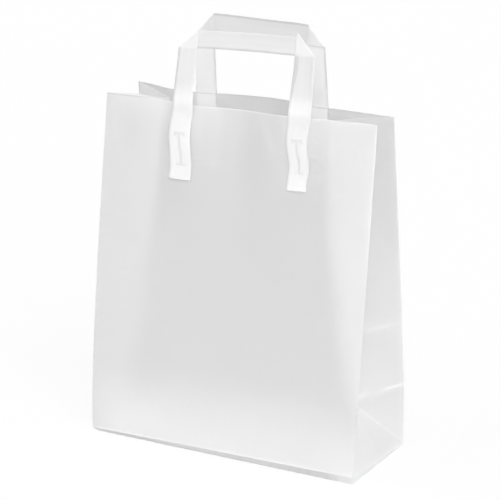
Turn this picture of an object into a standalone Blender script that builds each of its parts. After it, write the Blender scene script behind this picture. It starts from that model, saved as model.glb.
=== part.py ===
"""Frosted plastic carrier bag: a block-bottom film body and two folded flat tape handles.

Metres, +Z up. The origin is the centre of the base, the front panel faces -Y, and the bag
stands open on its folded bottom with the mouth pinched together, as a handled bag stands.
"""
import math

import bmesh
import bpy
from mathutils import Vector

# Body sizes
WIDTH = 0.250              # front and rear panels, corner crease to corner crease
DEPTH = 0.1055             # block bottom, and each side gusset opened flat
HEIGHT = 0.293             # panel height measured along the film
FILM = 0.0001              # thickness of one layer of film

# Mouth, where the panels lean in and the side gussets fold inwards
FRONT_MOUTH_LEFT = -0.0127     # y of the mouth's four corners
FRONT_MOUTH_RIGHT = -0.0162
REAR_MOUTH_LEFT = 0.0372
REAR_MOUTH_RIGHT = 0.0158
FRONT_LEAN_LEFT = 1.25         # 1 leans in evenly from base to mouth, more is bowed out
FRONT_LEAN_RIGHT = 1.0
REAR_LEAN_LEFT = 1.0
REAR_LEAN_RIGHT = 1.2

# Bottom: the film turns under along a low sloped band, and the flaps overlap beneath
TURN_LEFT = 0.0048             # height of the band at the left and the right end
TURN_RIGHT = 0.0085
TURN_INSET_Y = 0.0050          # how far the band runs in under the panels and the gussets
TURN_INSET_X = 0.0025
FLAP_OVERLAP = 0.020           # how far the outer flap laps over the inner one
FLAP_MARGIN = 0.0010           # flaps start this far inside the folded edge of the base

# Handles: one flat tape each, with a 45 degree fold at both upper corners
GRIP_WIDTH = 0.016             # width of the tape at the grip
LEG_WIDTH = 0.019              # width of a leg where it is pressed flat and welded
TAPE_THICK = 0.0004
HANDLE_SPACING = 0.107         # between the middles of the two legs
FRONT_SHIFT = 0.0054           # middle of each handle from the middle of the bag
REAR_SHIFT = 0.0015
LEG_OVERLAP = 0.062            # welded length of a leg below the mouth
FRONT_RISE = 0.062             # top of the grip above the mouth, along the film
REAR_RISE = 0.067
NODE_GAP = 0.0003              # clearance between the tape and the film it lies on
LAYER_GAP = 0.0003             # space left between the two layers of a tape fold

# Soft waves of the panels, deepest at the mouth: (x, half width, outward height)
FRONT_WAVES = (
    (-0.045, 0.034, 0.0048),
    (0.004, 0.016, -0.0025),
    (0.040, 0.024, 0.0060),
)
REAR_WAVES = (
    (-0.085, 0.035, -0.0090),
    (0.010, 0.030, 0.0050),
)
WAVE_FADE_BELOW = 0.080        # how quickly the waves die out below and above the mouth
WAVE_FADE_ABOVE = 0.035

# Mesh fineness
SIDE_COLUMNS = 6               # columns of a panel outside each handle leg
LEG_COLUMNS = 2
MIDDLE_COLUMNS = 8
GUSSET_COLUMNS = 4             # columns of each half of a gusset
TUCK_ROWS = GUSSET_COLUMNS     # rows beside the bottom triangle of a gusset
WALL_ROWS = 6                  # rows from that triangle up to the handle legs
WELD_ROWS = 6                  # rows beside the handle legs
FREE_ROWS = 6                  # rows of a handle leg above the mouth
FOLD_ROWS = 6
GRIP_ROWS = 10

FRONT = -1
REAR = 1
LAYERS_UNDER = 2               # layers of flap below the base sheet
TUCK_HEIGHT = DEPTH / 2        # the folded bottom triangle is half as high as the bag is deep
FOLD_RADIUS = (TAPE_THICK + LAYER_GAP) / 2


def spread(start, end, count):
    """Evenly spaced values from start to end, both included."""
    return [start + (end - start) * i / count for i in range(count + 1)]


def mix(a, b, share):
    return a + (b - a) * share


def handle_shift(side):
    return FRONT_SHIFT if side == FRONT else REAR_SHIFT


def panel_columns(side):
    """x of each column of a panel, with columns on the edges of the handle legs."""
    left = handle_shift(side) - HANDLE_SPACING / 2
    right = handle_shift(side) + HANDLE_SPACING / 2
    half = LEG_WIDTH / 2
    columns = spread(-WIDTH / 2, left - half, SIDE_COLUMNS)
    columns += spread(left - half, left + half, LEG_COLUMNS)[1:]
    columns += spread(left + half, right - half, MIDDLE_COLUMNS)[1:]
    columns += spread(right - half, right + half, LEG_COLUMNS)[1:]
    columns += spread(right + half, WIDTH / 2, SIDE_COLUMNS)[1:]
    return columns


def wall_rows():
    """Heights along the film, from the turned bottom edge to the mouth, as shares of the wall."""
    tuck = TUCK_HEIGHT / HEIGHT
    weld = 1 - LEG_OVERLAP / HEIGHT
    return spread(0, tuck, TUCK_ROWS) + spread(tuck, weld, WALL_ROWS)[1:] + spread(weld, 1, WELD_ROWS)[1:]


def turn_height(x):
    """Height of the band where the film turns under, at one place across the bag."""
    return mix(TURN_LEFT, TURN_RIGHT, x / WIDTH + 0.5)


def wave(side, x, share):
    """Outward bulge of a panel at x, and at a height given as a share of the wall."""
    waves = FRONT_WAVES if side == FRONT else REAR_WAVES
    fade = WAVE_FADE_BELOW if share < 1 else WAVE_FADE_ABOVE
    away = (share - 1) * HEIGHT / fade
    corner_fade = max(0.0, 1 - abs(2 * x / WIDTH) ** 4)
    total = sum(height * math.exp(-((x - centre) / width) ** 2) for centre, width, height in waves)
    return total * corner_fade * math.exp(-away * away)


def corner_y(side, hand, share):
    """y of one upright corner crease of the bag (hand is -1 left, 1 right)."""
    if side == FRONT:
        mouth = FRONT_MOUTH_LEFT if hand < 0 else FRONT_MOUTH_RIGHT
        lean = FRONT_LEAN_LEFT if hand < 0 else FRONT_LEAN_RIGHT
    else:
        mouth = REAR_MOUTH_LEFT if hand < 0 else REAR_MOUTH_RIGHT
        lean = REAR_LEAN_LEFT if hand < 0 else REAR_LEAN_RIGHT
    return mix(side * DEPTH / 2, mouth, share if share > 1 else share ** lean)


def panel_y(side, x, share):
    across = x / WIDTH + 0.5
    flat = mix(corner_y(side, -1, share), corner_y(side, 1, share), across)
    return flat + side * wave(side, x, share)


def gusset_point(hand, share, along):
    """Plan position on a gusset: along runs from 0 at the front corner to 2 at the rear one."""
    front = corner_y(FRONT, hand, share)
    rear = corner_y(REAR, hand, share)
    middle = (front + rear) / 2
    tuck = TUCK_HEIGHT / HEIGHT
    if share < tuck:
        gap_at_tuck = corner_y(REAR, hand, tuck) - corner_y(FRONT, hand, tuck)
        inward = fold_depth(gap_at_tuck) * share / tuck
        crease = share / tuck
    else:
        inward = fold_depth(rear - front)
        crease = 1.0
    corner = front if along <= 1 else rear
    from_corner = along if along <= 1 else 2 - along
    crease_y = mix(corner, middle, crease)
    if from_corner <= crease:
        part = from_corner / crease if crease else 1.0
        return hand * (WIDTH / 2 - inward * part), mix(corner, crease_y, part)
    part = (from_corner - crease) / (1 - crease)
    return hand * (WIDTH / 2 - inward), mix(crease_y, middle, part)


def fold_depth(gap):
    """How far a gusset folds in when its two corners stand gap apart."""
    half_gusset = DEPTH / 2
    return math.sqrt(max(half_gusset ** 2 - (gap / 2) ** 2, 0.0))


def stations():
    """The columns once round the bag: (plan position at a share of the wall, x for the band)."""
    front = panel_columns(FRONT)
    rear = panel_columns(REAR)[::-1]
    round_gusset = spread(0, 2, 2 * GUSSET_COLUMNS)[1:-1]
    columns = [(lambda share, x=x: (x, panel_y(FRONT, x, share))) for x in front]
    columns += [(lambda share, a=a: gusset_point(1, share, a)) for a in round_gusset]
    columns += [(lambda share, x=x: (x, panel_y(REAR, x, share))) for x in rear]
    columns += [(lambda share, a=a: gusset_point(-1, share, 2 - a)) for a in round_gusset]
    return columns


def climb(place, shares, start_height, length):
    """Points up one column. The film doesn't stretch, so a leaning stretch rises less."""
    x, y = place(shares[0])
    points = [Vector((x, y, start_height))]
    for lower, upper in zip(shares, shares[1:]):
        x, y = place(upper)
        run = (upper - lower) * length
        sideways = (x - points[-1].x) ** 2 + (y - points[-1].y) ** 2
        rise = math.sqrt(max(run * run - sideways, 0.0))
        points.append(Vector((x, y, points[-1].z + rise)))
    return points


def body_columns():
    """Each column of the body's surface, from the edge of the base up to the mouth."""
    base = LAYERS_UNDER * FILM
    shares = wall_rows()
    columns = []
    for place in stations():
        x, y = place(0)
        inset_x = x * (1 - 2 * TURN_INSET_X / WIDTH)
        inset_y = y * (1 - 2 * TURN_INSET_Y / DEPTH)
        foot = Vector((inset_x, inset_y, base))
        turn = base + turn_height(x)
        columns.append([foot] + climb(place, shares, turn, HEIGHT - turn_height(x)))
    return columns


def skin(bm, columns):
    """Faces between neighbouring columns, split along the crease of each bottom triangle."""
    grid = [[bm.verts.new(point) for point in column] for column in columns]
    panel = len(panel_columns(FRONT))
    turn = panel + 2 * GUSSET_COLUMNS - 1
    falling = set(range(panel - 1, panel - 1 + GUSSET_COLUMNS))
    falling |= set(range(turn + panel - 1, turn + panel - 1 + GUSSET_COLUMNS))
    rising = {i + GUSSET_COLUMNS for i in falling}
    for i, column in enumerate(grid):
        beside = grid[(i + 1) % len(grid)]
        for j in range(len(column) - 1):
            corners = [column[j], beside[j], beside[j + 1], column[j + 1]]
            if 1 <= j <= TUCK_ROWS and i in falling:
                bm.faces.new((corners[0], corners[1], corners[2]))
                bm.faces.new((corners[0], corners[2], corners[3]))
            elif 1 <= j <= TUCK_ROWS and i in rising:
                bm.faces.new((corners[0], corners[1], corners[3]))
                bm.faces.new((corners[1], corners[2], corners[3]))
            else:
                bm.faces.new(corners)
    bm.faces.new([column[0] for column in reversed(grid)])


def material(name, colour, roughness, transmission):
    made = bpy.data.materials.new(name)
    made.use_nodes = True
    shader = made.node_tree.nodes["Principled BSDF"]
    shader.inputs["Base Color"].default_value = (*colour, 1.0)
    shader.inputs["Metallic"].default_value = 0.0
    shader.inputs["Roughness"].default_value = roughness
    shader.inputs["Transmission Weight"].default_value = transmission
    return made


def add_object(name, mesh, collection, finish=None):
    made = bpy.data.objects.new(name, mesh)
    collection.objects.link(made)
    if finish:
        mesh.materials.append(finish)
    return made


def surface(name, collection, finish, build, thickness):
    """An open surface given its thickness by Solidify, on the side away from its normals."""
    mesh = bpy.data.meshes.new(name)
    bm = bmesh.new()
    build(bm)
    bm.to_mesh(mesh)
    bm.free()
    made = add_object(name, mesh, collection, finish)
    solidify = made.modifiers.new("film thickness", "SOLIDIFY")
    solidify.thickness = thickness
    solidify.offset = -1.0
    solidify.use_even_offset = True
    return made


def flap(name, outline, bottom, top, collection):
    """A glued flap of the block bottom, as a flat outline extruded by its layers."""
    curve = bpy.data.curves.new(name, "CURVE")
    curve.dimensions = "2D"
    curve.fill_mode = "BOTH"
    curve.extrude = (top - bottom) / 2
    spline = curve.splines.new("POLY")
    spline.points.add(len(outline) - 1)
    for point, (x, y) in zip(spline.points, outline):
        point.co = (x, y, 0, 1)
    spline.use_cyclic_u = True
    guide = add_object(name + "_outline", curve, collection)
    guide.location.z = (top + bottom) / 2
    bpy.context.view_layer.update()
    mesh = bpy.data.meshes.new_from_object(guide.evaluated_get(bpy.context.evaluated_depsgraph_get()))
    bm = bmesh.new()
    bm.from_mesh(mesh)
    bmesh.ops.remove_doubles(bm, verts=bm.verts, dist=FILM / 10)
    bmesh.ops.recalc_face_normals(bm, faces=bm.faces)
    bm.to_mesh(mesh)
    bm.free()
    made = add_object(name, mesh, collection)
    made.matrix_world = guide.matrix_world.copy()
    bpy.data.objects.remove(guide)
    made.hide_render = True
    made.display_type = "WIRE"
    return made


def flap_outline(side):
    """A flap hangs from one long edge of the base and has 45 degree ends, like an envelope's."""
    edge_x = WIDTH / 2 - TURN_INSET_X - FLAP_MARGIN
    edge_y = DEPTH / 2 - TURN_INSET_Y - FLAP_MARGIN
    reach = edge_y + FLAP_OVERLAP / 2
    return [
        (-edge_x, side * edge_y),
        (edge_x, side * edge_y),
        (edge_x - reach, -side * FLAP_OVERLAP / 2),
        (-edge_x + reach, -side * FLAP_OVERLAP / 2),
    ]


def bag_body(parts, cutters, finish):
    """The film tube with its folded gussets and block bottom: one piece, open at the mouth."""
    body = surface("bag_body", parts, finish, lambda bm: skin(bm, body_columns()), FILM)
    sheet = LAYERS_UNDER * FILM
    inner = flap("front_flap", flap_outline(FRONT), FILM, sheet + 0.6 * FILM, cutters)
    outer = flap("rear_flap", flap_outline(REAR), 0.0, sheet + 0.4 * FILM, cutters)
    for piece in (inner, outer):
        join = body.modifiers.new(piece.name, "BOOLEAN")
        join.operation = "UNION"
        join.solver = "EXACT"
        join.object = piece
    return body


def over_panel(side, x, height, outward):
    """The point at x and at a height along the film, lifted off a panel or its plane above."""
    turned = turn_height(x)
    shares = [share for share in wall_rows() if share * (HEIGHT - turned) + turned < height]
    shares.append((height - turned) / (HEIGHT - turned))
    column = climb(lambda share: (x, panel_y(side, x, share)), shares,
                   LAYERS_UNDER * FILM + turned, HEIGHT - turned)
    step = 0.001
    share = shares[-1]
    slope_up = (panel_y(side, x, share) - panel_y(side, x, share - step)) / (step * (HEIGHT - turned))
    slope_across = (panel_y(side, x + step, share) - panel_y(side, x - step, share)) / (2 * step)
    normal = Vector((-side * slope_across, side, -side * slope_up)).normalized()
    return column[-1] + normal * outward


def fold_over(distance):
    """Where a strip lies that is folded back on itself: distance is measured across the fold."""
    bend = math.pi * FOLD_RADIUS
    if distance <= -bend / 2:
        return distance, 0.0
    if distance >= bend / 2:
        return -distance, 2 * FOLD_RADIUS
    angle = (distance + bend / 2) / FOLD_RADIUS
    return -bend / 2 + FOLD_RADIUS * math.sin(angle), FOLD_RADIUS * (1 - math.cos(angle))


def tape_width(along, leg_length):
    """Width of the tape: flattened at the weld, narrower from the mouth up to the fold."""
    narrow_from = LEG_OVERLAP
    narrow_to = leg_length - GRIP_WIDTH
    share = min(max((along - narrow_from) / (narrow_to - narrow_from), 0.0), 1.0)
    return mix(LEG_WIDTH, GRIP_WIDTH, share)


def tape_place(along, across, leg_length):
    """The flat tape laid in the handle's plane: (x from the middle, height, layer offset)."""
    half = HANDLE_SPACING / 2
    if along > leg_length + half:
        x, height, layer = tape_place(2 * (leg_length + half) - along, across, leg_length)
        return -x, height, layer
    flat = Vector((across * tape_width(along, leg_length) / GRIP_WIDTH, along - leg_length))
    fold = Vector((1, 1)).normalized()
    over = Vector((-1, 1)).normalized()
    folded, layer = fold_over(flat.dot(over))
    place = fold * flat.dot(fold) + over * folded
    return place.x - half, place.y + leg_length, layer


def tape_rows(leg_length, across, overlap):
    """Lengths along half of the tape at one place across it, skewed to meet the 45 degree fold."""
    bend = math.pi * FOLD_RADIUS / math.sqrt(2)
    fold = leg_length + across
    rows = spread(0, overlap, WELD_ROWS)
    rows += spread(overlap, fold - bend, FREE_ROWS)[1:]
    rows += spread(fold - bend, fold + bend, FOLD_ROWS)[1:]
    return rows + spread(fold + bend, leg_length + HANDLE_SPACING / 2, GRIP_ROWS // 2)[1:]


def tape(bm, side, rise):
    """A handle's tape: up one leg, folded over at 45 degrees, across as the grip, and down."""
    leg_length = LEG_OVERLAP + rise - GRIP_WIDTH / 2
    whole = 2 * (leg_length + HANDLE_SPACING / 2)
    clear = NODE_GAP + TAPE_THICK
    foot = HEIGHT - LEG_OVERLAP
    grid = []
    for across in spread(-GRIP_WIDTH / 2, GRIP_WIDTH / 2, LEG_COLUMNS):
        first = tape_rows(leg_length, across, LEG_OVERLAP)
        lengths = first + [whole - along for along in reversed(first[:-1])]
        line = []
        for along in lengths:
            x, height, layer = tape_place(along, across, leg_length)
            place = over_panel(side, x + handle_shift(side), foot + height, clear - layer)
            line.append(bm.verts.new(place))
        grid.append(line)
    for line, beside in zip(grid, grid[1:]):
        for j in range(len(line) - 1):
            corners = (line[j], beside[j], beside[j + 1], line[j + 1])
            bm.faces.new(corners if side == FRONT else corners[::-1])


def handle(name, side, rise, parts, finish):
    return surface(name, parts, finish, lambda bm: tape(bm, side, rise), TAPE_THICK)


def new_collection(name):
    made = bpy.data.collections.new(name)
    bpy.context.scene.collection.children.link(made)
    return made


def main():
    for old in list(bpy.data.objects):
        bpy.data.objects.remove(old)
    parts = new_collection("plastic_carrier_bag")
    cutters = new_collection("flap_guides")
    bag_body(parts, cutters, material("frosted_film", (0.86, 0.86, 0.86), 0.45, 0.5))
    handle("front_handle", FRONT, FRONT_RISE, parts, material("front_tape", (0.93, 0.93, 0.93), 0.4, 0.3))
    handle("rear_handle", REAR, REAR_RISE, parts, material("rear_tape", (0.93, 0.93, 0.93), 0.4, 0.3))


main()
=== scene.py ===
"""Looks of the frosted plastic carrier bag: fine film and tape, light, floor and camera."""
import math

import bmesh
import bpy
import numpy as np
from mathutils import Matrix, Vector


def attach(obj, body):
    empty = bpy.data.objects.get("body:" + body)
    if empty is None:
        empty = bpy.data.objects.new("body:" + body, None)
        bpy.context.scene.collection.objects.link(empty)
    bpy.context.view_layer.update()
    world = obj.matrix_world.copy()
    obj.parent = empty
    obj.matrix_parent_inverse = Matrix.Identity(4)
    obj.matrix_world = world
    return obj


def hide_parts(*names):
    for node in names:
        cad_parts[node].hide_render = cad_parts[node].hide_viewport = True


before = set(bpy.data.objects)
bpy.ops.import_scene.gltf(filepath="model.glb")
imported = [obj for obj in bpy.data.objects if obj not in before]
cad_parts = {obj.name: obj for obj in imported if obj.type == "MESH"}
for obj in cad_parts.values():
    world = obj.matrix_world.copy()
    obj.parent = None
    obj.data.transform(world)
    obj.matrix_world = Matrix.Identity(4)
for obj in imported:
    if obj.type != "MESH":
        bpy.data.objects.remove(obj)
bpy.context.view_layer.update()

FRONT = -1
REAR = 1

# The body and the handles repeat the part's own sizes, in metres. A pair is left and right.
WIDTH = 0.250
DEPTH = 0.1055
HEIGHT = 0.293
FILM = 0.0001
LAYERS_UNDER = 2
FRONT_MOUTH = (-0.0127, -0.0162)
REAR_MOUTH = (0.0372, 0.0158)
FRONT_LEAN = (1.25, 1.0)
REAR_LEAN = (1.0, 1.2)
TURN = (0.0048, 0.0085)
TURN_INSET_X = 0.0025
TURN_INSET_Y = 0.0050
FLAP_OVERLAP = 0.020
FLAP_MARGIN = 0.0010
GRIP_WIDTH = 0.016
LEG_WIDTH = 0.019
TAPE_THICK = 0.0004
HANDLE_SPACING = 0.107
FRONT_SHIFT = 0.0054
REAR_SHIFT = 0.0015
LEG_OVERLAP = 0.062
FRONT_RISE = 0.062
REAR_RISE = 0.0674         # 0.4 mm more than the part's
NODE_GAP = 0.0003
LAYER_GAP = 0.0003
FRONT_WAVES = ((-0.045, 0.034, 0.0048), (0.004, 0.016, -0.0025), (0.040, 0.024, 0.0060))
REAR_WAVES = ((-0.085, 0.035, -0.0090), (0.010, 0.030, 0.0050))
WAVE_FADE_BELOW = 0.080
WAVE_FADE_ABOVE = 0.035
TUCK_FOOT = 0.005          # rough height of the turned band below a gusset's bottom triangle
TUCK = (DEPTH / 2 - TUCK_FOOT) / (HEIGHT - TUCK_FOOT)
FOLD_RADIUS = (TAPE_THICK + LAYER_GAP) / 2
BASE_SHEET = LAYERS_UNDER * FILM

# What the scene adds to the film's shape
REAR_TURN = 0.0015         # height of the turned band along the rear's foot
REAR_INSET = 0.12          # share of the band's insets that is left at the rear
TURN_CREASE = 0.92         # how far up the band its crease lies
MOUTH_LIFT = 0.0021        # how much higher the cut edge runs at the front left
LIFT_ACROSS = (-0.085, -0.035)    # x, y and share of the wall between which that fades
LIFT_BACK = (-0.004, 0.008)
LIFT_UP = (0.85, 1.0)
DRAW_SHARE = 0.35          # below this share of the wall the foot is pulled out of square
REAR_DRAW = 0.0065         # how far its rear right corner is pulled forward
RIGHT_DRAW = 0.0010        # and to the right
LEFT_DRAW = 0.0012         # how far its front left corner is pulled to the right
LOW_FOLD = 0.052           # heights of the two level folds across a gusset
HIGH_FOLD = 0.107

# Wrinkles of the film: side, x, height from the mouth, half width, half length, turn in degrees,
# depth, and how much paler or darker they are painted: painted light and shade on their flanks
WRINKLES = (
    (FRONT, 0.033, -0.020, 0.0032, 0.021, 30, 0.0003, 0.036),
    (FRONT, 0.041, -0.013, 0.0050, 0.011, 28, 0.0000, -0.022),
    (FRONT, -0.0285, -0.046, 0.0013, 0.006, 86, 0.0005, -0.026),
    (FRONT, -0.0265, -0.052, 0.0013, 0.008, 88, -0.0004, -0.024),
    (FRONT, -0.0295, -0.039, 0.0012, 0.005, 80, 0.0004, -0.016),
    (FRONT, -0.117, -0.020, 0.0016, 0.022, 14, 0.0005, 0.022),
    (FRONT, -0.098, -0.026, 0.0060, 0.024, 4, -0.0003, -0.020),
    (FRONT, -0.032, -0.028, 0.0060, 0.028, 0, 0.0002, 0.008),
    (FRONT, 0.078, -0.060, 0.0060, 0.030, -8, 0.0006, 0.010),
    (REAR, -0.055, -0.040, 0.0060, 0.025, 20, 0.0010, 0.010),
    (REAR, 0.075, -0.035, 0.0050, 0.022, -24, 0.0009, 0.010),
)
PUCKER_HEIGHT = 0.0017
PUCKER_LENGTH = 0.046
PUCKER_WIDTH = 0.015
PUCKER_CREST = -0.024      # height of one crest from the mouth
PUCKER_START = (-0.075, -0.050)    # heights between which the puckers rise and die out again
PUCKER_END = (-0.012, 0.004)

# Details of the tapes' shape
FOLD_WIDTH = (0.0175, 0.0180)    # of a leg just below its fold, front and rear
BAR_WIDTH = (0.0145, 0.0170)     # of the grip between the folds, front and rear
TIP_HEIGHT = 0.0203              # height of the front right fold, which stands above the grip
TIP_EDGE = (-0.0005, 0.0015)
FOLD_EDGE = 0.0003               # how softly the doubled tape of a fold ends
BAR_LIFT = 0.0006                # how much higher the front grip lies
BAR_TILT = 0.0009                # how much it rises from its middle to its right end
REAR_STEEP = 0.0055              # how much further out the rear right fold's upper corner lies
REAR_INNER = 0.0018              # how much further in the rear right leg's inner edge lies
RIGHT_END_CUT = 0.0025           # how much shorter the front right leg is
RIGHT_NARROWER = 0.165           # what the front right leg loses at its weld, in grip widths
LEFT_WIDER = 0.094               # and that the front left leg gains
NARROWER_TO = (-0.035, 0.012)    # heights from the mouth between which these fade
WIDER_TO = (-0.020, 0.002)
LEG_BENDS = (                    # of the front legs: hand, height from the mouth, half length, aside
    (1, -0.037, 0.013, 0.0017),
    (1, -0.018, 0.018, -0.0013),
    (1, -0.062, 0.006, 0.0009),
    (0, -0.027, 0.016, -0.0012),
    (0, -0.062, 0.014, 0.0007),
)
HEM_PLACE = 0.80                 # where the hem's ridge lies, from the tape's middle 0 to its edge 1
HEM_REACH = 0.05
HEM_LIFT = 0.00018
END_LIFT = 0.0006                # how far a leg's end stands off the film, and along what length
END_LENGTH = 0.004
MARK_DEPTH = 0.00022             # of the mark that the welding tool leaves
MARK_LENGTH = 0.0266
MARK_TOP = (0.0236, 0.0186)      # how far below the mouth the mark starts, left and right
MARK_STEM = (0.0008, 0.0016)     # each pair: the mark's half size, sharp and faded out
MARK_TOP_BAR = (0.0044, 0.0056)
MARK_TOP_LINE = (0.0007, 0.0014)
MARK_FOOT_BAR = (0.0036, 0.0048)
MARK_FOOT_LINE = (0.0005, 0.0013)
MARK_LOBE = (0.0008, 0.0017)
LOBE_ASIDE = 0.0040
LOBE_DOWN = 0.0012
MARK_FOOT_SHARE = 0.8            # how strong its foot is beside the rest

# Light
WORLD_LIGHT = 0.55         # plain light from all round
KEY_LIGHT = 2.2            # the two lamps, as suns with a wide disc
FILL_LIGHT = 0.75
SUN_DISC = 55              # degrees
FLOOR_TONE = 1.0
SHADOW_SHARE = 0.12        # how much of the floor's own shading shows in its white

# How pale the film is: its thin middle, and painted light and shade for what its folded layers, the
# bag's inside and the fall of light add
PANEL_TONE = 0.877
REAR_SHADED_TONE = 0.838          # painted shade of the bag's inside on the rear panel, darkest at its mouth
REAR_UP = (0.3, 1.0)
GUSSET_WHITENED_AND_LIT_TONE = (0.955, 0.905)    # partly the crumpled film's own whitening, partly painted light: a gusset's rear half, at its foot and higher up
GUSSET_UP = (0.0, 0.8)
GUSSET_FRONT_WHITENED_AND_LIT_TONE = 0.985       # and its front half, painted paler where it shows through the front panel
LEFT_MOUTH_TONE = 1.0           # the left gusset just below the mouth
LEFT_MOUTH_UP = (0.80, 1.0)
FOLD_PAINTED_SHADE = 0.012            # painted shade: how much darker the right gusset is just below its level folds
FOLD_SHADE_BANDS = (                     # bands of painted shade below the level folds: fold, how far, slope, reach, share
    (LOW_FOLD, 0.007, 0.004, 0.005, 1.0),
    (HIGH_FOLD, 0.009, 0.006, 0.007, 0.7),
)
BASE_TONE = 1.0
BAND_SHADED_TONE = (0.940, 0.99)  # painted shade on the turned band, which faces down: along the front's foot, and along the sides
BAND_END = 0.97            # and along the rear and where the front's band runs out at the right
BAND_FADE = (0.095, 0.122)
BAND_WHITE = 0.35          # of the band there, at the sides and at the rear
CLOUDINESS = 0.024
CREASE_CLEAR = 0.15        # how see-through a fully whitened crease stays

# Painted light where things behind show through the film, placed for the photograph's side
BACKING_PAINTED_LIGHT = (0.012, 0.100)   # painted light where the folded gusset lies close behind a panel, left and right
BACKING_PAINTED_WHITE = (0.02, 0.16)
BACKING_SHIFT = ((-0.16, -0.51), (0.44, 0.36))    # how far aside it shows, at the foot and mouth
BACKING_BLUR = ((0.012, 0.005), (0.015, 0.005))   # how blurred its edge is, at the foot and mouth
BACKING_FROM = ((0.02, 0.14), (0.06, 0.26))       # shares of the wall between which it comes in
BACKING_MOUTH = (0.35, 0.45)    # how much of it fades out towards the mouth, front and rear
BACKING_UP = (0.90, 1.0)
RIDGE_PAINTED_LIGHT = 0.080              # painted light: how much paler the front is beside the left gusset's crease
RIDGE_LENGTH = 0.020
RIDGE_UP = (0.40, 0.90)
SEEN_LEGS_PAINTED_LIGHT = ((-0.036, -0.0130, 0.042), (0.0550, 0.0840, 0.058))    # painted light where the rear legs show through: from x, to x, how much paler
SEEN_BLUR = (0.004, 0.0045)     # of their left and right edges
SEEN_DOWN = (-0.057, -0.046)    # where the rear legs seen through the front end, from the mouth
PAINTED_BASE_GLOW = 0.105          # painted glow low down, where the white base shows through
PAINTED_BASE_GLOW_WHITE = 0.19
GLOW_HEIGHTS = (0.006, 0.072)
GLOW_CORNER = 0.65         # how much of it is missing at the front's lower left corner
GLOW_CORNER_REACH = 0.032
GLOW_CORNER_HEIGHTS = (0.040, 0.060)
WELD_PAINTED_LIGHT = 0.15          # painted light where a handle's tape is welded behind the rear panel
WELD_BLUR = 0.0012
WELD_END_BLUR = 0.001
WELD_CLEAR = 0.78          # how much clearer the film there is just below the mouth
CLEARING = (-0.030, -0.012)     # heights from the mouth between which it clears

# Whitening of the film's creases and cut edges: partly the film's own stress whitening, partly painted
# highlight where the front right fold and the front's mouth edge catch the light, with painted shade
# along the unlit part of that edge
CREASE_HALF = 0.0006       # half width of a pressed crease
FOLD_WHITE = 0.0011        # reach of the whitening beside an upright fold
LIT_FOLD = (0.12, 0.85)    # its strength along the front right fold, low and high
LIT_UP = (0.40, 0.80)
LIT_WIDER = 1.4
LEFT_FOLD = 0.2            # its strength along the front left fold
REAR_FOLD = 0.25           # and along the rear folds
MOUTH_WHITE = 0.0009       # reach below the cut edge of the mouth
MOUTH_STRENGTH = 0.6       # and the strength along the front's edge, partly painted highlight where it catches the light
MOUTH_FROM = (-0.100, -0.075)    # from where that edge is white
GUSSET_MOUTH = (0.5, 0.3)  # strength along a gusset's edge, front and rear half
RIM_PAINTED_SHADE = 0.16            # painted shade: how much darker the mouth's edge is where it isn't whitened
RIM_REAR = 0.5             # share of that along the rear
RIM_CLEAR = (0.86, 0.97)
FOOT_LINE = 0.0007
FOOT_WHITE = 0.5
TUCK_LIT_WHITE = 0.22          # painted light on the doubled film of the bottom tuck
TUCK_EDGE = (0.28, 0.20)   # its slanting fold, and how much that varies
MIDDLE_WHITE = 0.5         # a gusset's middle crease
LOW_FOLD_WHITE = 0.60
LOW_FOLD_CLEAR = 0.7
HIGH_FOLD_WHITE = 0.30

# How pale and how white the tapes are, with painted light where they lie welded on a panel and where
# they are doubled, and painted shade along their hems
TAPE_TONE = (0.865, 0.885) # the free tape, front and rear
# painted light: the welded legs, lying on the panel, are painted paler and whiter than the free tape
WELDED_LIT_TONE = 1.0
# painted light: the rear legs below their folds, painted paler and whiter
REAR_LEG_LIT_TONE = 1.0
WELD_END = (0.003, 0.020)  # heights above the mouth between which a leg turns from welded to free
WELD_LIT_WHITE = 0.22
REAR_LEG_LIT_WHITE = 0.3
FLAP_LIT_WHITE = ((0.42, 0.48), (0.35, 0.75))    # painted light on a handle's doubled folds, left and right, front and rear
RIGHT_WELD_DARK = 0.06     # a darker stretch of the front right weld
RIGHT_WELD_PLACE = (-0.010, 0.014)    # its height from the mouth and half length
LEFT_WELD_WHITE = 0.60     # a whiter stretch of the front left weld
LEFT_WELD_PLACE = (-0.032, 0.018)
TAPE_CLEAR = 1.3           # how much clearer the tape welded behind the rear panel is
CLEAR_END = (-0.001, 0.002)
MARK_TONE = 0.90
HEM_PAINTED_SHADE = (0.13, 0.15)    # painted shade: how much darker a tape's hem is on its turned side, front and rear
HEM_FROM = 0.79            # where that starts, from the tape's middle 0 to its edge 1
HEM_BLUR = 0.05
HEM_WELDED = 0.45          # share of it that shows where the leg is welded
HEM_MILK = 0.8             # how much less white the hem is there
HEM_WIDER = 0.22           # how much wider it gets below the front right fold, in half widths
HEM_WIDER_PLACE = (0.022, 0.014)
EDGE_WHITE = 0.6           # the tape's outermost edge
EDGE_FROM = (0.88, 1.0)
SHARP_WHITE = 0.0008       # reach of the whitening along a fold and a cut end
STRIPES = ((0.012, 5200, 0), (0.008, 9100, 1))    # the lengthwise lines: strength, density, place

# Fineness of the grids
PANEL_STEPS = 84
HALF_GUSSET_STEPS = 18
UPPER_ROWS = 80
CREASE_STEPS = (1, 2, 4)   # grid lines beside a crease, in half widths of it
FOLD_ROW = 0.001           # height between the rows at a gusset's level folds
CLIMB_STEPS = 140
SLOPE_STEP = 0.001
TAPE_ACROSS = 26
WELD_STEPS = 76
FREE_STEPS = 24
FLAP_STEPS = 6
FOLD_STEPS = 10
GRIP_STEPS = 26
ROW_GAP = 0.0006
BEND_MARGIN = 0.0002


def mix(a, b, share):
    return a + (b - a) * share


def smooth(low, high, value):
    """Eases from 0 at low to 1 at high."""
    share = np.clip((value - low) / (high - low), 0.0, 1.0)
    return share * share * (3 - 2 * share)


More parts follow.
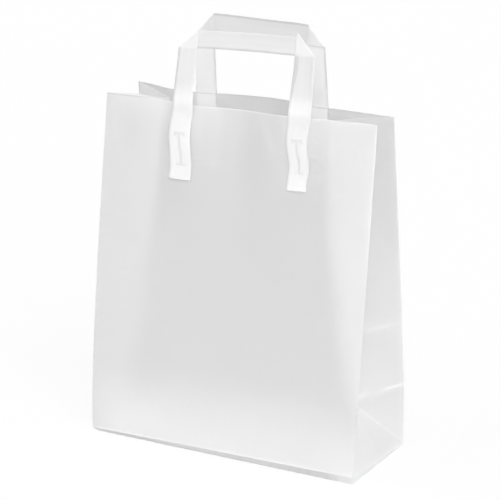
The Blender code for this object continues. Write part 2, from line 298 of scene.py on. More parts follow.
def within(inner, outer, value):
    """Eases from 1 at inner to 0 at outer."""
    return 1 - smooth(inner, outer, value)


def bell(value, middle, reach):
    """1 at the middle, dying out softly beyond its reach."""
    return np.exp(-((value - middle) / reach) ** 2)


def pair_place(side):
    """Which of a front and rear pair belongs to a side."""
    return 0 if side == FRONT else 1


def handle_shift(side):
    return FRONT_SHIFT if side == FRONT else REAR_SHIFT


def turn_height(side, x):
    """Height of the turned band along a panel's foot."""
    return mix(TURN[0], TURN[1], x / WIDTH + 0.5) if side == FRONT else REAR_TURN + 0 * x


def drawn_in(x, y, share):
    """The foot of the bag is pulled a little out of square at the front left and rear right."""
    low = np.clip(1 - share / DRAW_SHARE, 0, None) ** 2
    rear_right = (y / DEPTH + 0.5) * (x / WIDTH + 0.5) * low
    front_left = (0.5 - y / DEPTH) * (0.5 - x / WIDTH) * low
    return x + RIGHT_DRAW * rear_right + LEFT_DRAW * front_left, y - REAR_DRAW * rear_right


def mouth_lift(x, y, share):
    """The mouth isn't cut quite level: it runs a little higher at the front left."""
    return MOUTH_LIFT * within(*LIFT_ACROSS, x) * within(*LIFT_BACK, y) * smooth(*LIFT_UP, share)


def wave(side, x, share):
    """Soft outward waves of a panel, deepest at the mouth."""
    waves = FRONT_WAVES if side == FRONT else REAR_WAVES
    fade = np.where(share < 1, WAVE_FADE_BELOW, WAVE_FADE_ABOVE)
    away = (share - 1) * HEIGHT / fade
    corner_fade = np.clip(1 - np.abs(2 * x / WIDTH) ** 4, 0, None)
    total = sum(height * bell(x, centre, width) for centre, width, height in waves)
    return total * corner_fade * np.exp(-away * away)


def wrinkles(side, x, share):
    """Depth of the film's small wrinkles, and the painted light and shade that make them paler or
    darker.
    """
    up = (share - 1) * HEIGHT
    total = np.zeros(np.broadcast(x, share).shape)
    paler = total.copy()
    for of_side, centre_x, centre_up, width, length, turned, depth, pale in WRINKLES:
        if of_side != side:
            continue
        angle = math.radians(turned)
        across = (x - centre_x) * math.cos(angle) + (up - centre_up) * math.sin(angle)
        along = -(x - centre_x) * math.sin(angle) + (up - centre_up) * math.cos(angle)
        amount = np.exp(-(across / width) ** 2 - (along / length) ** 2)
        total += depth * amount
        paler += pale * amount
    return total, paler


def puckers(side, x, share):
    """The puckers that the welds pull along each handle leg."""
    up = (share - 1) * HEIGHT
    window = smooth(*PUCKER_START, up) * within(*PUCKER_END, up)
    ripple = np.cos(2 * math.pi * (up - PUCKER_CREST) / PUCKER_LENGTH)
    legs = [handle_shift(side) + hand * HANDLE_SPACING / 2 for hand in (-1, 1)]
    return sum(PUCKER_HEIGHT * ripple * window * bell(x, leg, PUCKER_WIDTH) for leg in legs)


def corner_y(side, hand, share):
    """y of an upright corner crease (hand is 0 left, 1 right)."""
    mouth = (FRONT_MOUTH if side == FRONT else REAR_MOUTH)[hand]
    lean = (FRONT_LEAN if side == FRONT else REAR_LEAN)[hand]
    bowed = np.where(share > 1, share, np.clip(share, 0, 1) ** lean)
    return mix(side * DEPTH / 2, mouth, bowed)


def panel_y(side, x, share):
    flat = mix(corner_y(side, 0, share), corner_y(side, 1, share), x / WIDTH + 0.5)
    uneven = wave(side, x, share) + wrinkles(side, x, share)[0] + puckers(side, x, share)
    return flat + side * uneven


def fold_depth(gap):
    """How far in a gusset's middle crease lies when its two corners are this far apart."""
    return np.sqrt(np.clip((DEPTH / 2) ** 2 - (gap / 2) ** 2, 0, None))


def gusset_xy(hand, share, along):
    """Plan position on a gusset; along runs from 0 at the front corner to 2 at the rear one."""
    out = 1 if hand else -1
    front = corner_y(FRONT, hand, share)
    rear = corner_y(REAR, hand, share)
    middle = (front + rear) / 2
    tuck_gap = corner_y(REAR, hand, np.array(TUCK)) - corner_y(FRONT, hand, np.array(TUCK))
    low = share < TUCK
    crease = np.where(low, np.maximum(share / TUCK, 1e-9), 1.0)
    inward = np.where(low, fold_depth(tuck_gap) * share / TUCK, fold_depth(rear - front))
    corner = front if along <= 1 else rear
    from_corner = min(along, 2 - along)
    crease_y = mix(corner, middle, crease)
    part = np.minimum(from_corner / crease, 1.0)
    rest = np.clip((from_corner - crease) / np.maximum(1 - crease, 1e-9), 0, 1)
    y = np.where(from_corner <= crease, mix(corner, crease_y, part), mix(crease_y, middle, rest))
    return out * (WIDTH / 2 - inward * part), y


def climb(x, y, shares, turn):
    """Heights up a column of film, which doesn't stretch, so a leaning stretch rises less."""
    run = np.diff(shares) * (HEIGHT - turn)
    sideways = np.diff(x) ** 2 + np.diff(y) ** 2
    rise = np.sqrt(np.clip(run * run - sideways, 0, None))
    return BASE_SHEET + turn + np.concatenate([[0], np.cumsum(rise)])


def panel_columns():
    """Places across a panel, close together at its folds."""
    inner = np.linspace(-WIDTH / 2, WIDTH / 2, PANEL_STEPS + 1)
    near = [WIDTH / 2 - k * CREASE_HALF for k in CREASE_STEPS]
    return np.unique(np.round(np.concatenate([inner, near, np.negative(near)]), 9))


def wall_shares():
    """Shares of the wall's height, close together at the mouth and the gussets' level folds."""
    tuck = np.linspace(0, TUCK, HALF_GUSSET_STEPS + 1)
    upper = np.linspace(TUCK, 1, UPPER_ROWS + 1)[1:]
    rim = [1 - k * CREASE_HALF / HEIGHT for k in CREASE_STEPS]
    rows = range(-2, 8)
    folds = [(fold + k * FOLD_ROW) / HEIGHT for fold in (LOW_FOLD, HIGH_FOLD) for k in rows]
    folds = [share for share in folds if share > TUCK + 0.001]
    return np.unique(np.round(np.concatenate([tuck, upper, rim, folds]), 9))


def film_columns():
    """Columns once round the bag: points, how pale the film is with its painted light and shade, and
    how white each crease is.
    """
    shares = wall_shares()
    columns = []

    def add(x, y, tone, white, turn, band_tone, band_white):
        z = climb(x, y, shares, turn) + mouth_lift(x, y, shares)
        x, y = drawn_in(x, y, shares)
        wall = np.stack([x, y, z], axis=1)
        inset = mix(1.0, REAR_INSET, y[0] / DEPTH + 0.5)
        foot_x = x[0] * (1 - 2 * inset * TURN_INSET_X / WIDTH)
        foot_y = y[0] * (1 - 2 * inset * TURN_INSET_Y / DEPTH)
        foot = (foot_x, foot_y, BASE_SHEET)
        band = mix(np.array(foot), wall[0], TURN_CREASE)
        points = np.vstack([[foot, band], wall])
        tones = np.concatenate([[band_tone, band_tone], tone])
        columns.append((points, tones, np.concatenate([[band_white, band_white], white])))

    def add_panel(side, order):
        for place in order:
            x = np.full(shares.shape, place)
            # painted shade on the turned band along the foot, darkest along the front
            end = smooth(*BAND_FADE, place) if side == FRONT else 1.0
            band = mix(BAND_SHADED_TONE[0], BAND_END, end)
            tone = panel_tone(side, place, shares)
            white = panel_white(side, place, shares)
            turn = turn_height(side, place)
            add(x, panel_y(side, x, shares), tone, white, turn, band, BAND_WHITE * end)

    def add_gusset(hand, order):
        for along in order:
            x, y = gusset_xy(hand, shares, along)
            # the gusset's film is paler: partly its own whitening, partly painted light
            rear_tone = mix(*GUSSET_WHITENED_AND_LIT_TONE, smooth(*GUSSET_UP, shares))
            tone = rear_tone if along > 1 else GUSSET_FRONT_WHITENED_AND_LIT_TONE + 0 * shares
            # painted shade below the right gusset's level folds
            tone = tone - FOLD_PAINTED_SHADE * creased(shares, along) * (hand == 1)
            if hand == 0:
                tone = mix(tone, LEFT_MOUTH_TONE, smooth(*LEFT_MOUTH_UP, shares))
            turn = mix(TURN[hand], REAR_TURN, along / 2)
            add(x, y, tone, gusset_white(shares, along), turn, BAND_SHADED_TONE[1], BAND_WHITE)

    half = np.linspace(0, 1, HALF_GUSSET_STEPS + 1)
    inner = np.concatenate([half[1:], 2 - half[1:-1][::-1]])
    add_panel(FRONT, panel_columns())
    add_gusset(1, inner)
    add_panel(REAR, panel_columns()[::-1])
    add_gusset(0, 2 - inner)
    return columns


def painted_backing(x, shares):
    """Masks of painted light where the folded gusset shows behind a panel and along its left crease's
    ridge, and its hand.
    """
    hand = 1 if x > 0 else 0
    gap = corner_y(REAR, hand, shares) - corner_y(FRONT, hand, shares)
    crease = WIDTH / 2 - fold_depth(gap) + mix(*BACKING_SHIFT[hand], shares) * gap / 2
    blur = mix(*BACKING_BLUR[hand], shares)
    near = smooth(crease - blur, crease + blur, abs(x)) * smooth(*BACKING_FROM[hand], shares)
    ridge = near * bell(abs(x), crease, RIDGE_LENGTH) * smooth(*RIDGE_UP, shares)
    return near, ridge * (hand == 0), hand


def painted_seen_legs(side, x, shares):
    """Painted light: how much paler the front is where the rear handle's welded legs show through it.
    """
    if side == REAR:
        return 0 * shares
    up = (shares - 1) * HEIGHT
    total = 0 * shares
    for left, right, paler in SEEN_LEGS_PAINTED_LIGHT:
        from_left = smooth(left - SEEN_BLUR[0], left + SEEN_BLUR[0], x)
        to_right = within(right - SEEN_BLUR[1], right + SEEN_BLUR[1], x)
        total = total + paler * from_left * to_right * smooth(*SEEN_DOWN, up)
    return total


def painted_glow(side, x, shares):
    """Painted glow of the white base showing through low down, weaker at the front's left corner."""
    up = shares * HEIGHT
    left = within(0.0, GLOW_CORNER_REACH, WIDTH / 2 + x)
    corner = left * within(*GLOW_CORNER_HEIGHTS, up) * (side == FRONT)
    return within(*GLOW_HEIGHTS, up) * (1 - GLOW_CORNER * corner)


def behind_weld(side, x, shares):
    """Where a welded tape shows through the rear panel: the mask for its painted light and for the
    clearer film there.
    """
    if side == FRONT:
        return 0 * shares
    up = (shares - 1) * HEIGHT
    from_leg = min(abs(x - handle_shift(side) - hand * HANDLE_SPACING / 2) for hand in (-1, 1))
    beside = within(LEG_WIDTH / 2 - WELD_BLUR, LEG_WIDTH / 2 + WELD_BLUR, from_leg)
    return beside * smooth(-LEG_OVERLAP - WELD_END_BLUR, -LEG_OVERLAP + WELD_END_BLUR, up)


def mouth_edge(shares):
    """1 along the cut edge of the mouth."""
    return bell((1 - shares) * HEIGHT, 0, MOUTH_WHITE)


def foot_line(shares):
    """1 along the bag's lowest fold, a thin pale line."""
    return bell(shares * HEIGHT, 0, FOOT_LINE)


def panel_tone(side, x, shares):
    """A panel is painted palest where a gusset, the base or a tape lies close behind it, as painted
    light, with painted shade along the mouth's unlit edge and the rear panel's upper inside.
    """
    # painted shade: the rear panel darkens towards its mouth
    tone = PANEL_TONE if side == FRONT else mix(PANEL_TONE, REAR_SHADED_TONE, smooth(*REAR_UP, shares))
    near, ridge, hand = painted_backing(x, shares)
    kept = 1 - BACKING_MOUTH[pair_place(side)] * smooth(*BACKING_UP, shares)
    # painted light: paler where the folded gusset, the left crease's ridge, the base, the rear legs or
    # a welded tape show through
    pale = near * BACKING_PAINTED_LIGHT[hand] * kept + RIDGE_PAINTED_LIGHT * ridge * (side == FRONT)
    pale = np.maximum(pale, painted_glow(side, x, shares) * PAINTED_BASE_GLOW)
    pale = np.maximum(pale, painted_seen_legs(side, x, shares))
    pale = np.maximum(pale, behind_weld(side, x, shares) * WELD_PAINTED_LIGHT)
    unlit = within(*MOUTH_FROM, x) if side == FRONT else RIM_REAR
    # painted shade: a darker line along the mouth's cut edge where it is unlit
    painted_shade_rim = RIM_PAINTED_SHADE * mouth_edge(shares) * unlit
    return np.clip(tone + pale + wrinkles(side, x, shares)[1] - painted_shade_rim, 0, 1)


def panel_white(side, x, shares):
    """Whitening along a panel's upright folds, strongest at the front right, and along the mouth,
    partly stress whitening and partly painted highlight where they catch the light, and painted light
    where the gusset and the base show through.
    """
    near, _, hand = painted_backing(x, shares)
    strength, reach, edge = REAR_FOLD, FOLD_WHITE, 0.0
    if side == FRONT:
        strength, edge = LEFT_FOLD, MOUTH_STRENGTH * smooth(*MOUTH_FROM, x)
        if hand == 1:
            strength, reach = mix(*LIT_FOLD, smooth(*LIT_UP, shares)), FOLD_WHITE * LIT_WIDER
    rim_clear = 1 - smooth(*RIM_CLEAR, shares) * (side == REAR)
    white = strength * bell(WIDTH / 2 - abs(x), 0, reach)
    white = np.maximum(white, edge * mouth_edge(shares))
    # painted light: whiter where the folded gusset and the white base show through
    white = np.maximum(white, near * BACKING_PAINTED_WHITE[hand] * rim_clear)
    white = np.maximum(white, painted_glow(side, x, shares) * PAINTED_BASE_GLOW_WHITE)
    white = np.maximum(white, foot_line(shares) * FOOT_WHITE)
    clear = behind_weld(side, x, shares) * smooth(*CLEARING, (shares - 1) * HEIGHT)
    return white - clear * WELD_CLEAR


def creased(shares, along):
    """Painted shade just below each level fold of a gusset, where the fold shades the film."""
    total = 0 * shares
    for fold, down, slope, reach, amount in FOLD_SHADE_BANDS:
        dip = fold - down + slope * min(along, 2 - along)
        total = total + amount * bell(shares * HEIGHT, dip, reach)
    return total


def gusset_white(shares, along):
    """Stress whitening of a gusset's creases, which light up in worn stretches, and painted light on
    the doubled film of the bottom tuck.
    """
    up = shares * HEIGHT
    from_corner = min(along, 2 - along)
    step = 1 / HALF_GUSSET_STEPS
    patchy = 0.5 + 0.5 * np.cos(17 * from_corner + 5 * along)
    diagonal = bell(shares / TUCK, from_corner, 0.8 * step) * (shares <= TUCK * 1.001)
    low_fold = bell(up, LOW_FOLD + 0.004 * from_corner + 0.0022 * (along - 1), 0.0014)
    high_fold = bell(up, HIGH_FOLD + 0.0038 * (along - 0.7), 0.0016)
    worn_low = smooth(0.05, 0.25, along) * within(1.15, 1.35, along) + smooth(1.5, 1.65, along)
    worn_high = smooth(0.4, 0.7, along)
    tucked = smooth(0, 0.1, from_corner - shares / TUCK) * (shares < TUCK)
    layers = [
        GUSSET_MOUTH[0 if along <= 1 else 1] * mouth_edge(shares),
        FOOT_WHITE * foot_line(shares),
        (TUCK_EDGE[0] + TUCK_EDGE[1] * patchy) * diagonal,
        LOW_FOLD_WHITE * low_fold * worn_low,
        HIGH_FOLD_WHITE * high_fold * worn_high,
        # painted light on the tuck's doubled film
        TUCK_LIT_WHITE * tucked,
    ]
    if abs(along - 1) < step / 2:
        layers.append(MIDDLE_WHITE * (shares >= TUCK))
    clear = LOW_FOLD_CLEAR * low_fold * worn_low * (along < 1)
    return np.max(np.array(layers), axis=0) - clear


def flap_outline(side):
    edge_x = WIDTH / 2 - TURN_INSET_X - FLAP_MARGIN
    edge_y = DEPTH / 2 - TURN_INSET_Y - FLAP_MARGIN
    reach = edge_y + FLAP_OVERLAP / 2
    return [
        (-edge_x, side * edge_y),
        (edge_x, side * edge_y),
        (edge_x - reach, -side * FLAP_OVERLAP / 2),
        (-edge_x + reach, -side * FLAP_OVERLAP / 2),
    ]


def new_object(name, bm, sharp_degrees):
    mesh = bpy.data.meshes.new(name)
    bm.to_mesh(mesh)
    bm.free()
    made = bpy.data.objects.new(name, mesh)
    bpy.context.scene.collection.objects.link(made)
    mesh.shade_smooth()
    mesh.set_sharp_from_angle(angle=math.radians(sharp_degrees))
    return made


def thicken(made, thickness):
    solidify = made.modifiers.new("film thickness", "SOLIDIFY")
    solidify.thickness = thickness
    solidify.offset = -1.0
    solidify.use_even_offset = True


def add_line(bm, layers, points, *values):
    """A line of the mesh's points, each with its value for every layer."""
    line = []
    for point, *amounts in zip(points, *values):
        vert = bm.verts.new(point)
        for layer, amount in zip(layers, amounts):
            vert[layer] = float(amount)
        line.append(vert)
    return line


def build_film():
    """The folded film tube: panels, gussets, the turned bottom edge and the base sheet."""
    bm = bmesh.new()
    layers = [bm.verts.layers.float.new(key) for key in ("tone", "white")]
    grid = [add_line(bm, layers, *column) for column in film_columns()]
    panel = len(panel_columns())
    halves = HALF_GUSSET_STEPS
    first_right = panel - 1
    first_left = 2 * panel + 2 * halves - 2
    falling = {first + i for first in (first_right, first_left) for i in range(halves)}
    rising = {i + halves for i in falling}
    for i, line in enumerate(grid):
        beside = grid[(i + 1) % len(grid)]
        for j in range(len(line) - 1):
            a, b, c, d = line[j], beside[j], beside[j + 1], line[j + 1]
            in_tuck = 2 <= j <= halves + 1
            if in_tuck and i in falling:
                bm.faces.new((a, b, c))
                bm.faces.new((a, c, d))
            elif in_tuck and i in rising:
                bm.faces.new((a, b, d))
                bm.faces.new((b, c, d))
            else:
                bm.faces.new((a, b, c, d))
    bm.faces.new([line[0] for line in reversed(grid)])
    film = new_object("film_body", bm, sharp_degrees=14)
    thicken(film, FILM)
    return film


def build_flap(name, side, level):
    """One glued flap of the block bottom, a thin sheet under the base."""
    bm = bmesh.new()
    tone_layer = bm.verts.layers.float.new("tone")
    corners = [bm.verts.new((x, y, level)) for x, y in flap_outline(side)]
    for vert in corners:
        vert[tone_layer] = BASE_TONE
    bm.faces.new(corners if side == REAR else corners[::-1])
    bmesh.ops.recalc_face_normals(bm, faces=bm.faces)
    if bm.faces[:][0].normal.z > 0:
        bmesh.ops.reverse_faces(bm, faces=bm.faces)
    flap = new_object(name, bm, sharp_degrees=30)
    thicken(flap, FILM * 0.9)
    return flap


def fold_over(distance):
    """Where a strip lies that is folded back on itself: distance is measured across the fold."""
    bend = math.pi * FOLD_RADIUS
    angle = np.clip((distance + bend / 2) / FOLD_RADIUS, 0, math.pi)
    turned = -bend / 2 + FOLD_RADIUS * np.sin(angle)
    place = np.where(distance <= -bend / 2, distance, np.where(distance >= bend / 2, -distance, turned))
    return place, FOLD_RADIUS * (1 - np.cos(angle))


def tape_place(side, along, across, leg_length):
    """The tape laid flat in its handle's plane.

    Gives x from the handle's middle, height, the layer's offset, and where its folds double it.
    """
    fold_width = FOLD_WIDTH[pair_place(side)]
    bar_width = BAR_WIDTH[pair_place(side)]
    half = HANDLE_SPACING / 2
    far = along > leg_length + half
    near = np.where(far, 2 * (leg_length + half) - along, along)
    narrow = np.clip((near - LEG_OVERLAP) / (leg_length - GRIP_WIDTH - LEG_OVERLAP), 0, 1)
    wide = across * mix(LEG_WIDTH, fold_width, narrow) / GRIP_WIDTH
    up = near - leg_length
    folded, layer = fold_over((up - wide) / math.sqrt(2))
    kept = (up + wide) / math.sqrt(2)
    x = (kept - folded) / math.sqrt(2) - half
    height = (kept + folded) / math.sqrt(2) + leg_length
    base = leg_length - fold_width / 2
    inner = half - fold_width / 2
    into_fold = np.where(near <= leg_length + across, height - base, -x - inner)
    doubled = smooth(-FOLD_EDGE, FOLD_EDGE, into_fold)
    corner = smooth(*TIP_EDGE, -x - inner) * far
    tall = mix(bar_width, TIP_HEIGHT, corner) if side == FRONT else bar_width
    up_fold = np.clip((height - base) / fold_width, 0, 1)
    in_grip = leg_length - bar_width / 2 + (height - base) * tall / fold_width
    up_leg = np.clip((height - LEG_OVERLAP) / (base - LEG_OVERLAP), 0, 1)
    in_leg = height + (fold_width - bar_width) / 2 * up_leg
    height = np.where(height > base, in_grip, in_leg)
    if side == FRONT:
        height = height + up_leg * (BAR_LIFT - BAR_TILT * np.where(far, x, -x) / half)
    else:
        outer = half + fold_width / 2
        in_bar = -x * (inner + REAR_STEEP) / inner
        in_corner = outer - (outer + x) * (fold_width - REAR_STEEP) / fold_width
        steeper = np.where(-x < inner, in_bar, in_corner)
        x = np.where(far, mix(x, -steeper, up_fold), x)
    return np.where(far, -x, x), height, layer, doubled


def over_panel(side, x, height, outward):
    """Points at x and at a height along the film, lifted off a panel or its plane above."""
    turned = turn_height(side, x)
    top = (height - turned) / (HEIGHT - turned)
    shares = np.linspace(0, 1, CLIMB_STEPS + 1)[:, None] * top[None, :]
    y = panel_y(side, x[None, :] + 0 * shares, shares)
    run = np.diff(shares, axis=0) * (HEIGHT - turned)[None, :]
    rise = np.sqrt(np.clip(run ** 2 - np.diff(y, axis=0) ** 2, 0, None)).sum(axis=0)
    z = BASE_SHEET + turned + rise
    step = SLOPE_STEP
    up = (panel_y(side, x, top) - panel_y(side, x, top - step)) / (step * (HEIGHT - turned))
    over = (panel_y(side, x + step, top) - panel_y(side, x - step, top)) / (2 * step)
    normal = np.stack([-side * over, np.full(x.shape, float(side)), -side * up], axis=1)
    normal /= np.linalg.norm(normal, axis=1)[:, None]
    return np.stack([x, y[-1], z], axis=1) + normal * outward[:, None]


def weld_mark(up, across):
    """The I-shaped mark that the welding tool leaves on a leg: 1 in the mark, 0 outside it.

    Up is measured from the top of the mark, across from the middle of the tape.
    """
    aside = np.abs(across)
    inside = smooth(-MARK_LENGTH - 0.0010, -MARK_LENGTH, up) * within(-0.0005, 0.0005, up)
    stem = within(*MARK_STEM, aside) * inside
    top = within(*MARK_TOP_LINE, np.abs(up)) * within(*MARK_TOP_BAR, aside)
    lobe = within(*MARK_LOBE, np.hypot(aside - LOBE_ASIDE, up + LOBE_DOWN))
    foot = within(*MARK_FOOT_LINE, np.abs(up + MARK_LENGTH)) * within(*MARK_FOOT_BAR, aside)
    return np.max(np.array([stem, top, lobe, MARK_FOOT_SHARE * foot]), axis=0)


def tape_rows(side, across, leg_length):
    """Places along one lane of a tape, from end to end, close together at its folds."""
    flap_edge = FOLD_WIDTH[pair_place(side)] / 2
    bend = math.pi * FOLD_RADIUS / math.sqrt(2)
    fold = leg_length + across
    low = min(leg_length - flap_edge, fold - bend - BEND_MARGIN)
    high = max(leg_length + flap_edge, fold + bend + BEND_MARGIN)
    middle = leg_length + HANDLE_SPACING / 2
    first = np.concatenate([
        np.linspace(0, LEG_OVERLAP, WELD_STEPS + 1),
        np.linspace(LEG_OVERLAP, low - ROW_GAP, FREE_STEPS + 1)[1:],
        np.linspace(low, fold - bend, FLAP_STEPS + 1),
        np.linspace(fold - bend, fold + bend, FOLD_STEPS + 1)[1:],
        np.linspace(fold + bend, high, FLAP_STEPS + 1)[1:],
        np.linspace(high + ROW_GAP, middle, GRIP_STEPS + 1),
    ])
    last = first.copy()
    if side == FRONT:
        last[:WELD_STEPS + 1] = np.linspace(RIGHT_END_CUT, LEG_OVERLAP, WELD_STEPS + 1)
    return np.concatenate([first, 2 * middle - last[:-1][::-1]])


def uneven_legs(side, x, across, below, on_right):
    """The legs aren't quite straight: bent at the front, a little wider at the rear right."""
    if side == REAR:
        return x - REAR_INNER * on_right * smooth(0.0, 1.0, across / (GRIP_WIDTH / 2)) * (below > 0)
    for hand, centre, length, aside in LEG_BENDS:
        x = x + aside * bell(below, centre, length) * (on_right == hand)
    narrower = RIGHT_NARROWER * within(*NARROWER_TO, below)
    wider = LEFT_WIDER * within(*WIDER_TO, below)
    return x + np.where(on_right, narrower, wider) * across


def tape_lane(side, across, leg_length):
    """One lane along a tape: points, how pale and how white it is with its painted light and shade, and
    its weld marks.
    """
    pair = pair_place(side)
    whole = 2 * (leg_length + HANDLE_SPACING / 2)
    fold = leg_length + across
    along = tape_rows(side, across, leg_length)
    near_end = np.minimum(along, whole - along)
    below = near_end - LEG_OVERLAP
    on_right = along > whole / 2
    edge = abs(across) / (GRIP_WIDTH / 2)
    x, height, layer, doubled = tape_place(side, along, across, leg_length)
    x = uneven_legs(side, x, across, below, on_right)
    top = np.where(on_right, MARK_TOP[1], MARK_TOP[0])
    mark = weld_mark(below + top, across * LEG_WIDTH / GRIP_WIDTH)
    lift = HEM_LIFT * bell(edge, HEM_PLACE, HEM_REACH) + END_LIFT * bell(near_end, 0, END_LENGTH)
    outward = NODE_GAP + TAPE_THICK - layer - MARK_DEPTH * mark + lift
    points = over_panel(side, x + handle_shift(side), HEIGHT - LEG_OVERLAP + height, outward)

    # painted light: the welded stretch of a leg is painted paler and whiter than the free tape
    free = smooth(*WELD_END, below)
    tones = mix(WELDED_LIT_TONE, TAPE_TONE[pair], free)
    white = EDGE_WHITE * smooth(*EDGE_FROM, edge) + 0 * along
    white = np.maximum(white, bell(along, fold, SHARP_WHITE))
    white = np.maximum(white, bell(near_end, 0, SHARP_WHITE))
    white = np.maximum(white, WELD_LIT_WHITE * (1 - free))
    if side == FRONT:
        tones = tones - RIGHT_WELD_DARK * on_right * bell(below, *RIGHT_WELD_PLACE)
        white = np.maximum(white, LEFT_WELD_WHITE * (1 - on_right) * bell(below, *LEFT_WELD_PLACE))
    else:
        # painted light: the rear legs below their folds are painted paler and whiter
        grip = smooth(-0.002, 0.002, near_end - fold)
        tones = np.maximum(tones, mix(REAR_LEG_LIT_TONE, 0, grip))
        white = np.maximum(white, REAR_LEG_LIT_WHITE * (1 - grip))
    # painted light on the doubled tape of the folds
    strength = np.where(on_right, FLAP_LIT_WHITE[pair][1], FLAP_LIT_WHITE[pair][0])
    tones = np.maximum(tones, mix(tones, 1.0, doubled * strength))
    white = np.maximum(white, strength * doubled)
    clear = smooth(*CLEARING, below) * within(*CLEAR_END, below) * (side == REAR)
    white = mix(white, -TAPE_CLEAR, clear)

    # painted shade: the turned side of the hem is darker and less white
    shaded_side = side * np.where(along > whole - fold, -1, 1)
    wider = HEM_WIDER * on_right * (side == FRONT) * bell(fold - near_end, *HEM_WIDER_PLACE)
    hem = smooth(-HEM_BLUR, HEM_BLUR, across / (GRIP_WIDTH / 2) * shaded_side - HEM_FROM + wider)
    hem = hem * mix(HEM_WELDED, 1.0, free) * (1 - doubled) * (1 - clear)
    white = white * (1 - HEM_MILK * hem)
    stripe = sum(amount * math.cos(density * across + place) for amount, density, place in STRIPES)
    return points, tones + stripe - HEM_PAINTED_SHADE[pair] * hem, white, mark


def build_tape(name, side, rise):
    """A handle's tape: welded leg, 45 degree fold, grip, fold and leg, as one folded strip."""
    leg_length = LEG_OVERLAP + rise - GRIP_WIDTH / 2
    bm = bmesh.new()
    layers = [bm.verts.layers.float.new(key) for key in ("tone", "white", "mark")]
    places = np.linspace(-GRIP_WIDTH / 2, GRIP_WIDTH / 2, TAPE_ACROSS + 1)
    lanes = [add_line(bm, layers, *tape_lane(side, across, leg_length)) for across in places]
    for lane, beside in zip(lanes, lanes[1:]):
        for j in range(len(lane) - 1):
            corners = (lane[j], beside[j], beside[j + 1], lane[j + 1])
            bm.faces.new(corners if side == FRONT else corners[::-1])
    tape = new_object(name, bm, sharp_degrees=40)
    thicken(tape, TAPE_THICK * 0.6)
    return tape


class Nodes:
    """Short helper for a material's node tree."""

    def __init__(self, name):
        self.material = bpy.data.materials.new(name)
        self.material.use_nodes = True
        self.tree = self.material.node_tree
        self.shader = self.tree.nodes["Principled BSDF"]

    def add(self, kind, **inputs):
        node = self.tree.nodes.new(kind)
        for key, value in inputs.items():
            self.put(node.inputs[key.replace("_", " ")], value)
        return node

    def put(self, socket, value):
        if isinstance(value, bpy.types.NodeSocket):
            self.tree.links.new(value, socket)
        else:
            socket.default_value = value

    def math(self, operation, *values):
        node = self.tree.nodes.new("ShaderNodeMath")
        node.operation = operation
        for socket, value in zip(node.inputs, values):
            self.put(socket, value)
        return node.outputs[0]

    def blend(self, factor, first, second):
        node = self.tree.nodes.new("ShaderNodeMix")
        node.data_type = "RGBA"
        self.put(node.inputs["Factor"], factor)
        self.put(node.inputs["A"], first)
        self.put(node.inputs["B"], second)
        return node.outputs["Result"]

    def attribute(self, name):
        node = self.tree.nodes.new("ShaderNodeAttribute")
        node.attribute_name = name
        return node.outputs["Fac"]


def grey(value):
    return (value, value, value, 1.0)


def frosted(name, transmission, roughness, grain):
    """Frosted polymer film: milky, blurring what lies behind it, whitened where it is creased, and
    carrying the painted light and shade of its tone and white attributes.
    """
    n = Nodes(name)
    shader = n.shader
    place = n.add("ShaderNodeTexCoord").outputs["Object"]
    cloud = n.add("ShaderNodeTexNoise", Vector=place, Scale=22.0, Detail=3.0, Roughness=0.55)
    fine = n.add("ShaderNodeTexNoise", Vector=place, Scale=900.0, Detail=2.0)
    drift = n.math("MULTIPLY_ADD", cloud.outputs["Fac"], CLOUDINESS, -CLOUDINESS / 2)
    level = n.math("ADD", n.attribute("tone"), drift)
    cloudy = n.add("ShaderNodeCombineColor", Red=level, Green=level, Blue=level).outputs["Color"]
    white = n.attribute("white")
    n.put(shader.inputs["Base Color"], n.blend(white, cloudy, grey(1.0)))
    clear = n.math("MULTIPLY_ADD", white, CREASE_CLEAR - transmission, transmission)
    n.put(shader.inputs["Transmission Weight"], clear)
    shader.inputs["IOR"].default_value = 1.30
    varied = n.math("MULTIPLY_ADD", cloud.outputs["Fac"], 0.06, roughness - 0.03)
    n.put(shader.inputs["Roughness"], varied)
    bump = n.add("ShaderNodeBump", Height=fine.outputs["Fac"], Strength=grain, Distance=0.0002)
    n.put(shader.inputs["Normal"], bump.outputs["Normal"])
    return n


def film_material():
    return frosted("frosted_film", transmission=0.62, roughness=0.38, grain=0.25).material


def tape_material():
    n = frosted("frosted_tape", transmission=0.50, roughness=0.40, grain=0.20)
    before = n.shader.inputs["Base Color"].links[0].from_socket
    n.put(n.shader.inputs["Base Color"], n.blend(n.attribute("mark"), before, grey(MARK_TONE)))
    return n.material


def seen_white(tree):
    """1 for what the eye, a reflection or the view through the film meets, 0 for plain light."""
    path = tree.nodes.new("ShaderNodeLightPath")
    seen = tree.nodes.new("ShaderNodeMath")
    seen.operation = "MAXIMUM"
    tree.links.new(path.outputs["Is Camera Ray"], seen.inputs[0])
    tree.links.new(path.outputs["Is Transmission Ray"], seen.inputs[1])
    also = tree.nodes.new("ShaderNodeMath")
    also.operation = "MAXIMUM"
    tree.links.new(seen.outputs[0], also.inputs[0])
    tree.links.new(path.outputs["Is Glossy Ray"], also.inputs[1])
    return also.outputs[0]


def floor_material():
    n = Nodes("pale_floor")
    n.shader.inputs["Base Color"].default_value = grey(FLOOR_TONE)
    n.shader.inputs["Roughness"].default_value = 0.9
    n.shader.inputs["Specular IOR Level"].default_value = 0.2
    glow = n.add("ShaderNodeEmission", Color=grey(1.0), Strength=1.0)
    share = n.math("MULTIPLY", seen_white(n.tree), 1 - SHADOW_SHARE)
    mixed = n.tree.nodes.new("ShaderNodeMixShader")
    n.put(mixed.inputs[0], share)
    n.tree.links.new(n.shader.outputs[0], mixed.inputs[1])
    n.tree.links.new(glow.outputs[0], mixed.inputs[2])
    n.tree.links.new(mixed.outputs[0], n.tree.nodes["Material Output"].inputs["Surface"])
    return n.material


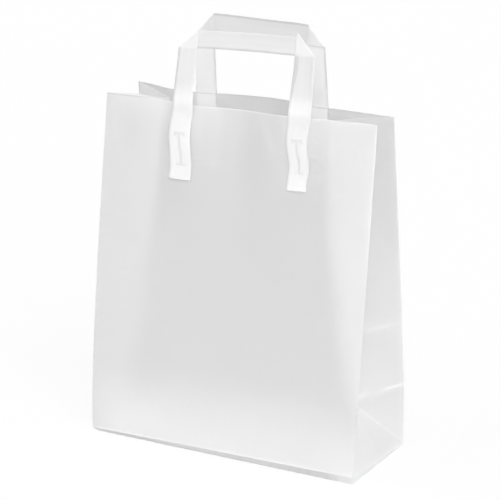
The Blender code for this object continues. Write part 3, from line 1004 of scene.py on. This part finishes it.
def make_world():
    """White to the eye and through the film, and a plain soft light on everything else."""
    world = bpy.data.worlds.new("studio")
    bpy.context.scene.world = world
    world.use_nodes = True
    tree = world.node_tree
    tree.nodes.clear()
    strength = tree.nodes.new("ShaderNodeMix")
    strength.inputs["A"].default_value = WORLD_LIGHT
    strength.inputs["B"].default_value = 1.0
    tree.links.new(seen_white(tree), strength.inputs["Factor"])
    background = tree.nodes.new("ShaderNodeBackground")
    tree.links.new(strength.outputs["Result"], background.inputs["Strength"])
    output = tree.nodes.new("ShaderNodeOutputWorld")
    tree.links.new(background.outputs[0], output.inputs["Surface"])


def make_sun(name, place, strength):
    """A wide soft sun that shines from a place towards the bag."""
    lamp = bpy.data.lights.new(name, "SUN")
    lamp.angle = math.radians(SUN_DISC)
    lamp.energy = strength
    made = bpy.data.objects.new(name, lamp)
    bpy.context.scene.collection.objects.link(made)
    made.location = place
    made.rotation_euler = Vector(place).to_track_quat("Z", "Y").to_euler()


def make_camera():
    """The photograph's viewing angle: a long lens, a little above the bag, seen from its right."""
    azimuth, elevation, roll = math.radians(28.32), math.radians(16.88), math.radians(-0.27)
    distance = 1.4725
    target = Vector((0.0037, 0.0, 0.1687))
    back = Vector((
        math.sin(azimuth) * math.cos(elevation),
        -math.cos(azimuth) * math.cos(elevation),
        math.sin(elevation),
    ))
    level = Vector((math.cos(azimuth), math.sin(azimuth), 0))
    up = back.cross(level)
    right = level * math.cos(roll) + up * math.sin(roll)
    up = back.cross(right)
    camera = bpy.data.cameras.new("camera")
    camera.sensor_width = 36
    camera.lens = 127.3
    camera.clip_start = 0.05
    made = bpy.data.objects.new("camera", camera)
    bpy.context.scene.collection.objects.link(made)
    turn = Matrix((right, up, back)).transposed().to_4x4()
    made.matrix_world = Matrix.Translation(target + back * distance) @ turn
    bpy.context.scene.camera = made


def make_floor():
    bm = bmesh.new()
    bmesh.ops.create_grid(bm, x_segments=1, y_segments=1, size=6.0)
    floor = new_object("floor", bm, sharp_degrees=30)
    floor.data.materials.append(floor_material())


def dress():
    film = build_film()
    front_flap = build_flap("front_flap_film", FRONT, FILM)
    rear_flap = build_flap("rear_flap_film", REAR, 0.0)
    front_tape = build_tape("front_tape", FRONT, FRONT_RISE)
    rear_tape = build_tape("rear_tape", REAR, REAR_RISE)
    film_look, tape_look = film_material(), tape_material()
    for piece in (film, front_flap, rear_flap):
        piece.data.materials.append(film_look)
        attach(piece, "root")
    for piece in (front_tape, rear_tape):
        piece.data.materials.append(tape_look)
        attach(piece, "root")
    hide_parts("bag_body")
    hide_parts("front_handle")
    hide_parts("rear_handle")


bpy.context.scene.view_settings.view_transform = "Standard"
bpy.context.scene.cycles.max_bounces = 24
bpy.context.scene.cycles.transmission_bounces = 24
bpy.context.scene.cycles.diffuse_bounces = 8
make_camera()
make_world()
make_sun("key", (1.6, -1.4, 1.4), KEY_LIGHT)
make_sun("fill", (-1.6, -0.9, 1.3), FILL_LIGHT)
make_floor()
dress()
